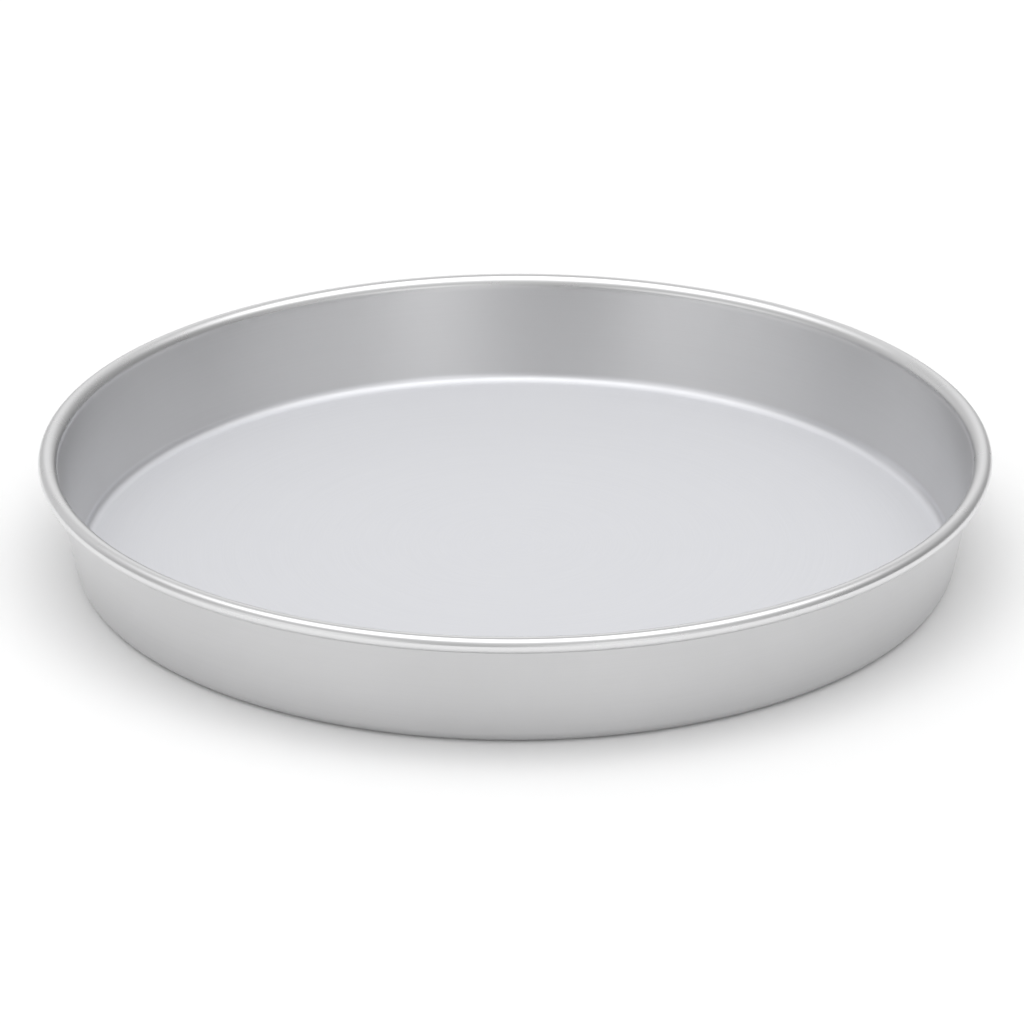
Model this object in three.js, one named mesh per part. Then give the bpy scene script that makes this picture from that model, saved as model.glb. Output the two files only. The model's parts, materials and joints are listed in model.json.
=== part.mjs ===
// A round deep-dish pizza pan: one drawn aluminium sheet whose rim is curled around a steel wire hoop.
// Millimetres, +Z up. The origin is the middle of the underside, on the surface that the pan stands on.
import * as THREE from 'three';

// Driving dimensions of the pan.
const topInsideDiameter = 406.4;
const insideDepth = 51.8;
const wallLeanDegrees = 9.7;
const insideCornerRadius = 5;
const sheetThickness = 1.63;

// Driving dimensions of the rim. The bend is the easy turn from the wall to the crest, before the tighter curl.
const rimBendRadius = 5;
const rimWireDiameter = 2.8;
const rimWireClearance = 0.3;
const curlEdgeGap = 0.3;

// How finely the round shapes are faceted.
const facetsAround = 72;
const facetsPerCorner = 6;
const facetsPerBend = 5;
const facetsOverCurl = 5;
const facetsUnderCurl = 8;
const facetsPerWire = 12;

// The sheet runs up the wall, bends over to the crest of the rim and curls down and back around the wire.
const wallLean = THREE.MathUtils.degToRad(wallLeanDegrees);
const curlInsideRadius = rimWireDiameter / 2 + rimWireClearance;
const curlOutsideRadius = curlInsideRadius + sheetThickness;
const bendInsideRadius = rimBendRadius - sheetThickness;
const overallHeight = sheetThickness + insideDepth;
const crestRadius = topInsideDiameter / 2 + rimBendRadius;
const curlCentre = new THREE.Vector2(crestRadius, overallHeight - curlOutsideRadius);
const bendCentre = new THREE.Vector2(crestRadius, overallHeight - rimBendRadius);

// The curl stops where its raw edge is a small gap from the wall again.
const wallDirection = Math.PI - wallLean;
const crestDirection = Math.PI / 2;
const curlToWall = bendInsideRadius - (curlCentre.y - bendCentre.y) * Math.sin(wallLean);
const curlStopShort = Math.acos((curlToWall - curlEdgeGap) / curlOutsideRadius);
const curlEnd = wallDirection - 2 * Math.PI + curlStopShort;

// The corner between floor and wall is bent around one centre, at which the wall meets the bend without a step.
const outsideCornerRadius = insideCornerRadius + sheetThickness;
const wallRise = bendCentre.y - outsideCornerRadius;
const cornerInset = rimBendRadius + insideCornerRadius + wallRise * Math.sin(wallLean);
const cornerCentre = new THREE.Vector2(
  bendCentre.x - cornerInset / Math.cos(wallLean),
  outsideCornerRadius,
);
const cornerAtFloor = -Math.PI / 2;
const cornerAtWall = -wallLean;

// Points along an arc in the plane of the profile: x is the distance from the axis and y the height.
function arcPoints(centre, radius, fromAngle, toAngle, facets) {
  const points = [];
  for (let step = 0; step <= facets; step += 1) {
    const angle = fromAngle + ((toAngle - fromAngle) * step) / facets;
    points.push(new THREE.Vector2(
      centre.x + radius * Math.cos(angle),
      centre.y + radius * Math.sin(angle),
    ));
  }
  return points;
}

// A profile turned around the upright axis.
function turned(profile) {
  const geometry = new THREE.LatheGeometry(profile, facetsAround);
  geometry.rotateX(Math.PI / 2);
  return geometry;
}

// One side of the rim, from the top of the wall over the crest to the raw edge. Each arc starts where one ends.
function rimSide(bendRadius, curlRadius) {
  const bend = arcPoints(bendCentre, bendRadius, wallDirection, crestDirection, facetsPerBend);
  const overCurl = arcPoints(curlCentre, curlRadius, crestDirection, 0, facetsOverCurl);
  const underCurl = arcPoints(curlCentre, curlRadius, 0, curlEnd, facetsUnderCurl);
  return [...bend, ...overCurl.slice(1), ...underCurl.slice(1)];
}

// The sheet's section, from the middle of its upper side, around the raw edge of the curl, to its lower side.
function sheetProfile() {
  return [
    new THREE.Vector2(0, sheetThickness),
    ...arcPoints(cornerCentre, insideCornerRadius, cornerAtFloor, cornerAtWall, facetsPerCorner),
    ...rimSide(rimBendRadius, curlOutsideRadius),
    ...rimSide(bendInsideRadius, curlInsideRadius).reverse(),
    ...arcPoints(cornerCentre, outsideCornerRadius, cornerAtWall, cornerAtFloor, facetsPerCorner),
    new THREE.Vector2(0, 0),
  ];
}

// The drawn sheet: flat floor, rounded corner, leaning wall and outward curl.
function panShell() {
  const satinAluminium = new THREE.MeshStandardMaterial({
    color: new THREE.Color(0.78, 0.78, 0.8),
    metalness: 1,
    roughness: 0.42,
  });
  const shell = new THREE.Mesh(turned(sheetProfile().reverse()), satinAluminium);
  shell.name = 'pan_shell';
  return shell;
}

// The hoop of round wire that the rim is curled around, welded where its ends meet.
function rimWire() {
  const drawnSteel = new THREE.MeshStandardMaterial({
    color: new THREE.Color(0.5, 0.5, 0.51),
    metalness: 1,
    roughness: 0.5,
  });
  const section = arcPoints(curlCentre, rimWireDiameter / 2, 0, 2 * Math.PI, facetsPerWire);
  const wire = new THREE.Mesh(turned(section), drawnSteel);
  wire.name = 'rim_wire';
  return wire;
}

const pizzaPan = new THREE.Group();
pizzaPan.add(panShell());
pizzaPan.add(rimWire());

export default pizzaPan;
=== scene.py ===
"""A satin aluminium deep-dish pizza pan on a plain white table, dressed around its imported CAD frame.

Metres, +Z up. The origin is the middle of the pan's underside.
"""
import json
import math

import bpy
from mathutils import Matrix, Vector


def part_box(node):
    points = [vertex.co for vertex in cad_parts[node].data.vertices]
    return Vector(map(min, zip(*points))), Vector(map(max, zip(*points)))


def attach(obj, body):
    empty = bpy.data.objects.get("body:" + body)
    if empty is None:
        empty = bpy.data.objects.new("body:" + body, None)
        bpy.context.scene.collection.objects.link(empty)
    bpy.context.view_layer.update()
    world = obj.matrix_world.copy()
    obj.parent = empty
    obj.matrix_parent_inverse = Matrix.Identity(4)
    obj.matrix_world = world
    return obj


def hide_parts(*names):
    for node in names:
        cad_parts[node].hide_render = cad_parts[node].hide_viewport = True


# The camera, in the pan's own frame, and the picture that it makes.
CAMERA_BACK = 1.5753
CAMERA_HEIGHT = 0.7098
CAMERA_PITCH = math.radians(23.763)
CAMERA_YAW = math.radians(-0.053)
CAMERA_ROLL = math.radians(-0.178)
FOCAL_PIXELS = 3827.0
PICTURE_PIXELS = 1024
SENSOR_WIDTH_MM = 36.0

# The sheet's shape where the frame's boxes don't give it.
WALL_LEAN = math.radians(9.7)
INSIDE_CORNER_RADIUS = 0.005
RIM_BEND_RADIUS = 0.005
CURL_EDGE_GAP = 0.0003

# How finely the turned pieces are divided, and how near the axis a point counts as on it.
STEPS_AROUND = 360
STEPS_PER_CORNER = 14
STEPS_PER_BEND = 20
STEPS_OVER_CURL = 20
STEPS_UNDER_CURL = 30
STEPS_PER_WIRE = 24
FLOOR_RINGS = 24
WALL_RINGS = 12
ON_AXIS = 1e-9

# The satin aluminium: its tints, which are one metal with painted light on the floor and the rim and painted
# shade on the wall, and how rough the floor, the wall and the rim are.
# Painted light: the floor's tint is lighter than the wall's, though both are the same sheet.
FLOOR_PAINTED_LIGHT_TINT = (0.806, 0.811, 0.834, 1.0)
# Painted shade: the wall's tint is darker than the floor's and the rim's, though all are the same sheet.
WALL_PAINTED_SHADE_TINT = (0.668, 0.668, 0.673, 1.0)
# Painted highlight: the rim's tint is lighter than the wall's, though the rim is the same sheet rolled over.
RIM_PAINTED_LIGHT_TINT = (0.780, 0.780, 0.785, 1.0)
FLOOR_ROUGHNESS = 0.74
WALL_ROUGHNESS = 0.36
RIM_ROUGHNESS = 0.28
ROUGHNESS_SWING = 0.05
CLOUDS_PER_METRE = 22.0
CLOUD_DETAIL = 4.0
FINISH_CHANGE_HEIGHT = INSIDE_CORNER_RADIUS / 2

# How strongly the brushed wall and rim stretch reflections, and which way, in turns from around the axis.
WALL_BRUSHING = 0.8
RIM_BRUSHING = 0.75
ACROSS_LINES = 0.25
ALONG_LINES = 0.0

# The fine spun lines: how close they are, how they shade the metal and how deep they are.
LINES_PER_METRE = 1400.0
LINE_CHANGES_AROUND = 2.0
LINE_DETAIL = 3.0
LINE_UNEVENNESS = 0.6
LINE_SHADE = (0.955, 0.955, 0.955, 1.0)
FLOOR_RELIEF = 0.01
WALL_RELIEF = 0.05
RELIEF_DEPTH = 0.0002

# The drawn steel of the hoop inside the rim.
STEEL_LIGHT = (0.52, 0.52, 0.53, 1.0)
STEEL_DARK = (0.44, 0.44, 0.45, 1.0)
STEEL_ROUGHNESS = (0.42, 0.58)

# The sockets of a colour mix, which share their names with the sockets of its other kinds.
MIX_FACTOR = 0
MIX_FIRST = 6
MIX_SECOND = 7
MIX_RESULT = 2

# The studio. Each soft light: degrees around from +X, degrees up, how tight it is, how bright its middle is.
SOFT_LIGHTS = {
    "overhead": (0.0, 90.0, 12.0, 1.10),
    "high left": (180.0, 68.0, 13.0, 1.72),
    "high right": (0.0, 68.0, 13.0, 1.72),
    "high front": (-90.0, 48.0, 10.0, 0.52),
    "side front left": (212.0, 35.0, 10.0, 0.14),
    "side front right": (-32.0, 35.0, 10.0, 0.24),
    "back sweep": (90.0, 20.0, 10.0, 0.78),
    "back left": (145.0, 15.0, 12.0, 0.56),
    "back right": (35.0, 15.0, 12.0, 0.12),
    "low left": (205.0, 10.0, 16.0, 0.58),
    "low right": (-40.0, 10.0, 16.0, 0.27),
    "low front left": (231.0, 10.0, 30.0, 0.86),
    "low front right": (-69.0, 10.0, 30.0, 1.04),
}
ROOM_LIGHT = 0.25
TABLE_WHITE = 0.95
TABLE_HALF_WIDTH = 12.0


def arc_points(centre, radius, start, end, steps):
    """Points along an arc in the plane of the profile, as (distance from the axis, height)."""
    points = []
    for step in range(steps + 1):
        angle = start + (end - start) * step / steps
        points.append((centre[0] + radius * math.cos(angle), centre[1] + radius * math.sin(angle)))
    return points


def line_points(start, end, steps):
    """Points strictly between two points of the profile."""
    points = []
    for step in range(1, steps):
        share = step / steps
        points.append((start[0] + (end[0] - start[0]) * share, start[1] + (end[1] - start[1]) * share))
    return points


def rim_side(sizes, bend_radius, curl_radius, curl_end):
    """One side of the rim, from the top of the wall over the crest to the raw edge of the curl."""
    crest = math.pi / 2
    bend = arc_points(sizes["bend_centre"], bend_radius, math.pi - WALL_LEAN, crest, STEPS_PER_BEND)
    over_curl = arc_points(sizes["curl_centre"], curl_radius, crest, 0.0, STEPS_OVER_CURL)
    under_curl = arc_points(sizes["curl_centre"], curl_radius, 0.0, curl_end, STEPS_UNDER_CURL)
    return [*bend, *over_curl[1:], *under_curl[1:]]


def sheet_profile(sizes):
    """The sheet's section, from the middle above, around the curl's raw edge, to the middle below."""
    sheet = sizes["sheet"]
    curl_outside = sizes["curl_radius"]
    curl_inside = curl_outside - sheet
    bend_inside = RIM_BEND_RADIUS - sheet
    bend_centre = sizes["bend_centre"]
    outside_corner = INSIDE_CORNER_RADIUS + sheet
    wall_rise = bend_centre[1] - outside_corner
    inset = RIM_BEND_RADIUS + INSIDE_CORNER_RADIUS + wall_rise * math.sin(WALL_LEAN)
    corner_centre = (bend_centre[0] - inset / math.cos(WALL_LEAN), outside_corner)
    curl_to_wall = bend_inside - (sizes["curl_centre"][1] - bend_centre[1]) * math.sin(WALL_LEAN)
    stop_short = math.acos((curl_to_wall - CURL_EDGE_GAP) / curl_outside)
    curl_end = stop_short - WALL_LEAN - math.pi
    at_floor = -math.pi / 2
    at_wall = -WALL_LEAN
    inner_corner = arc_points(corner_centre, INSIDE_CORNER_RADIUS, at_floor, at_wall, STEPS_PER_CORNER)
    outer_corner = arc_points(corner_centre, outside_corner, at_wall, at_floor, STEPS_PER_CORNER)
    rim_over = rim_side(sizes, RIM_BEND_RADIUS, curl_outside, curl_end)
    rim_under = rim_side(sizes, bend_inside, curl_inside, curl_end)[::-1]
    upper_middle = (0.0, sheet)
    lower_middle = (0.0, 0.0)
    return [
        upper_middle,
        *line_points(upper_middle, inner_corner[0], FLOOR_RINGS),
        *inner_corner,
        *line_points(inner_corner[-1], rim_over[0], WALL_RINGS),
        *rim_over,
        *rim_under,
        *line_points(rim_under[-1], outer_corner[0], WALL_RINGS),
        *outer_corner,
        *line_points(outer_corner[-1], lower_middle, FLOOR_RINGS),
        lower_middle,
    ]


def add_object(name, data):
    """A new object in the scene."""
    added = bpy.data.objects.new(name, data)
    bpy.context.scene.collection.objects.link(added)
    return added


def turned(name, profile, closed):
    """A mesh object of a profile turned around the upright axis. A point on the axis becomes one vertex."""
    vertices = []
    rings = []
    for radius, height in profile:
        if radius < ON_AXIS:
            rings.append([len(vertices)] * STEPS_AROUND)
            vertices.append((0.0, 0.0, height))
            continue
        rings.append(list(range(len(vertices), len(vertices) + STEPS_AROUND)))
        for step in range(STEPS_AROUND):
            angle = 2 * math.pi * step / STEPS_AROUND
            vertices.append((radius * math.cos(angle), radius * math.sin(angle), height))
    following = rings[1:] + rings[:1] if closed else rings[1:]
    faces = []
    for ring, after in zip(rings, following):
        for step in range(STEPS_AROUND):
            ahead = (step + 1) % STEPS_AROUND
            corners = [ring[step], ring[ahead], after[ahead], after[step]]
            faces.append(list(dict.fromkeys(corners)))
    mesh = bpy.data.meshes.new(name)
    mesh.from_pydata(vertices, [], faces)
    mesh.validate()
    mesh.shade_smooth()
    return add_object(name, mesh)


def read_sizes(frame):
    """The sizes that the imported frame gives: the wire's ring, the rim and the sheet."""
    wire_low, wire_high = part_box("rim_wire")
    shell_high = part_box("pan_shell")[1]
    mounts = {mount["name"]: mount for mount in frame["record"]["mounts"]}
    wire_radius = (wire_high.z - wire_low.z) / 2
    crest_radius = wire_high.x - wire_radius
    return {
        "sheet": mounts["cooking_floor"]["pos_m"][2],
        "wire_radius": wire_radius,
        "curl_radius": shell_high.x - crest_radius,
        "curl_centre": (crest_radius, (wire_high.z + wire_low.z) / 2),
        "bend_centre": (crest_radius, shell_high.z - RIM_BEND_RADIUS),
    }


def make_camera():
    """The camera, in front of the pan and above it, looking down at it."""
    camera = add_object("camera", bpy.data.cameras.new("camera"))
    camera.data.sensor_width = SENSOR_WIDTH_MM
    camera.data.lens = FOCAL_PIXELS / PICTURE_PIXELS * SENSOR_WIDTH_MM
    camera.location = (0.0, -CAMERA_BACK, CAMERA_HEIGHT)
    turn = Matrix.Rotation(-CAMERA_YAW, 3, "Z")
    tilt = Matrix.Rotation(math.pi / 2 - CAMERA_PITCH, 3, "X")
    roll = Matrix.Rotation(CAMERA_ROLL, 3, "Z")
    camera.rotation_euler = (turn @ tilt @ roll).to_euler()
    bpy.context.scene.camera = camera


def feed(tree, socket, source):
    """Link a socket to another node's output, or set it to a plain value."""
    if isinstance(source, bpy.types.NodeSocket):
        tree.links.new(source, socket)
    else:
        socket.default_value = source


def new_math(tree, operation, *sources):
    """The result of a math node."""
    node = tree.nodes.new("ShaderNodeMath")
    node.operation = operation
    for socket, source in zip(node.inputs, sources):
        feed(tree, socket, source)
    return node.outputs["Value"]


def new_vector_math(tree, operation, *sources):
    """A vector math node. Its result is a vector or a value, as the operation says."""
    node = tree.nodes.new("ShaderNodeVectorMath")
    node.operation = operation
    for socket, source in zip(node.inputs, sources):
        feed(tree, socket, source)
    return node


def new_split(tree, vector):
    """A vector's X, Y and Z, as a node's outputs."""
    node = tree.nodes.new("ShaderNodeSeparateXYZ")
    tree.links.new(vector, node.inputs["Vector"])
    return node.outputs


def new_range(tree, source, low, high):
    """A pattern carried from 0..1 to low..high."""
    node = tree.nodes.new("ShaderNodeMapRange")
    node.inputs["To Min"].default_value = low
    node.inputs["To Max"].default_value = high
    tree.links.new(source, node.inputs["Value"])
    return node.outputs["Result"]


def new_step(tree, source, low, high):
    """A smooth step from 0 to 1 while the source goes from low to high."""
    node = tree.nodes.new("ShaderNodeMapRange")
    node.interpolation_type = "SMOOTHSTEP"
    node.inputs["From Min"].default_value = low
    node.inputs["From Max"].default_value = high
    tree.links.new(source, node.inputs["Value"])
    return node.outputs["Result"]


def new_blend(tree, blend, factor, first, second):
    """The result of a colour mix."""
    node = tree.nodes.new("ShaderNodeMix")
    node.data_type = "RGBA"
    node.blend_type = blend
    tree.links.new(factor, node.inputs[MIX_FACTOR])
    feed(tree, node.inputs[MIX_FIRST], first)
    feed(tree, node.inputs[MIX_SECOND], second)
    return node.outputs[MIX_RESULT]


def new_noise(tree, place, detail, scale=1.0):
    """A noise texture at a place."""
    node = tree.nodes.new("ShaderNodeTexNoise")
    node.inputs["Scale"].default_value = scale
    node.inputs["Detail"].default_value = detail
    tree.links.new(place, node.inputs["Vector"])
    return node


def new_material(name):
    """A new material and its shader."""
    material = bpy.data.materials.new(name)
    material.use_nodes = True
    return material, material.node_tree.nodes["Principled BSDF"]


def spun_lines(tree, place):
    """Fine lines around the axis: a noise that changes quickly along the profile and slowly around it."""
    split = new_split(tree, place)
    flat = tree.nodes.new("ShaderNodeCombineXYZ")
    tree.links.new(split["X"], flat.inputs["X"])
    tree.links.new(split["Y"], flat.inputs["Y"])
    radius = new_vector_math(tree, "LENGTH", flat.outputs["Vector"])
    around = new_vector_math(tree, "NORMALIZE", flat.outputs["Vector"])
    slow = new_vector_math(tree, "SCALE", around.outputs["Vector"])
    slow.inputs["Scale"].default_value = LINE_CHANGES_AROUND
    along = new_math(tree, "ADD", radius.outputs["Value"], split["Z"])
    lift = tree.nodes.new("ShaderNodeCombineXYZ")
    tree.links.new(new_math(tree, "MULTIPLY", along, LINES_PER_METRE), lift.inputs["Z"])
    point = new_vector_math(tree, "ADD", slow.outputs["Vector"], lift.outputs["Vector"])
    noise = new_noise(tree, point.outputs["Vector"], LINE_DETAIL)
    noise.inputs["Roughness"].default_value = LINE_UNEVENNESS
    return noise.outputs["Fac"]


def line_relief(tree, shader, lines, strength):
    """Bumps along the lines."""
    relief = tree.nodes.new("ShaderNodeBump")
    relief.inputs["Distance"].default_value = RELIEF_DEPTH
    feed(tree, relief.inputs["Strength"], strength)
    tree.links.new(lines, relief.inputs["Height"])
    tree.links.new(relief.outputs["Normal"], shader.inputs["Normal"])


def sheet_zones(tree, place, sizes):
    """Where the sheet has the floor's matt finish, the floor's painted light, and the rim's finish and
    painted highlight, as 0..1.
    """
    height = new_split(tree, place.outputs["Object"])["Z"]
    upright = new_split(tree, place.outputs["Normal"])["Z"]
    facing_up = new_step(tree, upright, 0.0, math.sin(WALL_LEAN))
    floor_top = sizes["sheet"]
    finish_top = floor_top + FINISH_CHANGE_HEIGHT
    corner_top = floor_top + INSIDE_CORNER_RADIUS
    above_floor = new_step(tree, height, floor_top, finish_top)
    matt = new_math(tree, "MULTIPLY", facing_up, new_range(tree, above_floor, 1.0, 0.0))
    above_corner = new_step(tree, height, finish_top, corner_top)
    # Painted light: where the sheet faces up, on the floor and up the inside corner, it takes the lighter
    # tint. The lighter tint fades out over the corner's upper half.
    painted_light_mask = new_math(tree, "MULTIPLY", facing_up, new_range(tree, above_corner, 1.0, 0.0))
    rim_middle = sizes["curl_centre"][1]
    # On the rim the sheet gets its own finish and, in the tint, a painted highlight.
    on_rim = new_step(tree, height, rim_middle - sizes["curl_radius"], rim_middle)
    return matt, painted_light_mask, on_rim


def tint_with_painted_light(tree, painted_light_mask, on_rim, lines):
    """The sheet's colour: painted light on the floor, painted shade on the wall, a painted highlight on the
    rim, shaded by the lines.
    """
    sheet = new_blend(tree, "MIX", painted_light_mask, WALL_PAINTED_SHADE_TINT, FLOOR_PAINTED_LIGHT_TINT)
    with_rim = new_blend(tree, "MIX", on_rim, sheet, RIM_PAINTED_LIGHT_TINT)
    return new_blend(tree, "MULTIPLY", lines, with_rim, LINE_SHADE)


def sheet_roughness(tree, place, matt, on_rim):
    """The sheet's roughness: matt floor, smoother wall, smoothest rim, with faint clouds."""
    sheet = new_range(tree, matt, WALL_ROUGHNESS, FLOOR_ROUGHNESS)
    rim_change = new_range(tree, on_rim, 0.0, RIM_ROUGHNESS - WALL_ROUGHNESS)
    with_rim = new_math(tree, "ADD", sheet, rim_change)
    clouds = new_noise(tree, place.outputs["Object"], CLOUD_DETAIL, CLOUDS_PER_METRE)
    swing = new_range(tree, clouds.outputs["Fac"], -ROUGHNESS_SWING, ROUGHNESS_SWING)
    return new_math(tree, "ADD", with_rim, swing)


def brush_sheet(tree, shader, matt, on_rim):
    """Stretched reflections: none on the floor, across the lines on the wall, along them on the rim."""
    wall = new_range(tree, matt, WALL_BRUSHING, 0.0)
    rim_change = new_range(tree, on_rim, 0.0, RIM_BRUSHING - WALL_BRUSHING)
    tree.links.new(new_math(tree, "ADD", wall, rim_change), shader.inputs["Anisotropic"])
    turn = new_range(tree, on_rim, ACROSS_LINES, ALONG_LINES)
    tree.links.new(turn, shader.inputs["Anisotropic Rotation"])
    tangent = tree.nodes.new("ShaderNodeTangent")
    tangent.direction_type = "RADIAL"
    tangent.axis = "Z"
    tree.links.new(tangent.outputs["Tangent"], shader.inputs["Tangent"])


def satin_aluminium(sizes):
    """Satin sheet: even on the floor, spun in fine lines on the wall, burnished on the rolled rim. Its tint
    is painted light on the floor and the rim and painted shade on the wall.
    """
    material, shader = new_material("satin_aluminium")
    tree = material.node_tree
    shader.inputs["Metallic"].default_value = 1.0
    place = tree.nodes.new("ShaderNodeTexCoord")
    lines = spun_lines(tree, place.outputs["Object"])
    matt, painted_light_mask, on_rim = sheet_zones(tree, place, sizes)
    # The tint paints light onto the floor and the rim and shade onto the wall.
    tree.links.new(tint_with_painted_light(tree, painted_light_mask, on_rim, lines), shader.inputs["Base Color"])
    tree.links.new(sheet_roughness(tree, place, matt, on_rim), shader.inputs["Roughness"])
    brush_sheet(tree, shader, matt, on_rim)
    line_relief(tree, shader, lines, new_range(tree, matt, WALL_RELIEF, FLOOR_RELIEF))
    return material


def drawn_steel():
    """The hoop's dull wire, with fine drawing lines along it."""
    material, shader = new_material("drawn_steel_wire")
    tree = material.node_tree
    shader.inputs["Metallic"].default_value = 1.0
    place = tree.nodes.new("ShaderNodeTexCoord")
    lines = spun_lines(tree, place.outputs["Object"])
    tint = new_blend(tree, "MIX", lines, STEEL_LIGHT, STEEL_DARK)
    tree.links.new(tint, shader.inputs["Base Color"])
    tree.links.new(new_range(tree, lines, *STEEL_ROUGHNESS), shader.inputs["Roughness"])
    line_relief(tree, shader, lines, WALL_RELIEF)
    return material


def white_table():
    """The table's even, matt white."""
    material, shader = new_material("white_table")
    shader.inputs["Base Color"].default_value = (TABLE_WHITE, TABLE_WHITE, TABLE_WHITE, 1.0)
    shader.inputs["Roughness"].default_value = 1.0
    shader.inputs["Specular IOR Level"].default_value = 0.0
    return material


def make_table():
    """The white table that the pan stands on. It isn't part of the pan."""
    half = TABLE_HALF_WIDTH
    mesh = bpy.data.meshes.new("table")
    corners = [(-half, -half, 0.0), (half, -half, 0.0), (half, half, 0.0), (-half, half, 0.0)]
    mesh.from_pydata(corners, [], [(0, 1, 2, 3)])
    mesh.materials.append(white_table())
    table = add_object("table", mesh)


def soft_light(tree, direction, light):
    """How bright one soft light is in each direction: brightest in its middle, fading out around it."""
    around, up, tightness, brightness = light
    around = math.radians(around)
    up = math.radians(up)
    middle = (
        math.cos(around) * math.cos(up),
        math.sin(around) * math.cos(up),
        math.sin(up),
    )
    nearness = new_vector_math(tree, "DOT_PRODUCT", direction, middle).outputs["Value"]
    fall = new_math(tree, "MULTIPLY_ADD", nearness, tightness, -tightness)
    return new_math(tree, "MULTIPLY", new_math(tree, "EXPONENT", fall), brightness)


def make_studio():
    """The room: a dim surround with soft lights overhead, at both sides, behind and in front."""
    world = bpy.data.worlds.new("studio")
    bpy.context.scene.world = world
    world.use_nodes = True
    tree = world.node_tree
    background = tree.nodes["Background"]
    background.inputs["Color"].default_value = (1.0, 1.0, 1.0, 1.0)
    direction = tree.nodes.new("ShaderNodeTexCoord").outputs["Generated"]
    total = ROOM_LIGHT
    for light in SOFT_LIGHTS.values():
        total = new_math(tree, "ADD", total, soft_light(tree, direction, light))
    tree.links.new(total, background.inputs["Strength"])


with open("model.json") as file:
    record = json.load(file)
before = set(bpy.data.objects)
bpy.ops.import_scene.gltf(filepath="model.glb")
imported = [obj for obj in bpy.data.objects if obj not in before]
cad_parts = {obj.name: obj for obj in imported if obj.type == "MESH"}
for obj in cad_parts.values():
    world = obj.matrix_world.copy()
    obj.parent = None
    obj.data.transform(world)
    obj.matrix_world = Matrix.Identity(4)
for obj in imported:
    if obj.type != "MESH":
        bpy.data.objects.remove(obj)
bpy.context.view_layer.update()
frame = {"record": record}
pan_sizes = read_sizes(frame)

shell = turned("pan_sheet", sheet_profile(pan_sizes), closed=False)
shell.data.materials.append(satin_aluminium(pan_sizes))
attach(shell, "root")
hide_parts("pan_shell")

wire_profile = arc_points(
    pan_sizes["curl_centre"], pan_sizes["wire_radius"], 0.0, 2 * math.pi, STEPS_PER_WIRE
)[:-1]
wire = turned("rim_hoop", wire_profile, closed=True)
wire.data.materials.append(drawn_steel())
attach(wire, "root")
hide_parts("rim_wire")

make_table()
make_studio()
make_camera()
bpy.context.scene.view_settings.view_transform = "Standard"
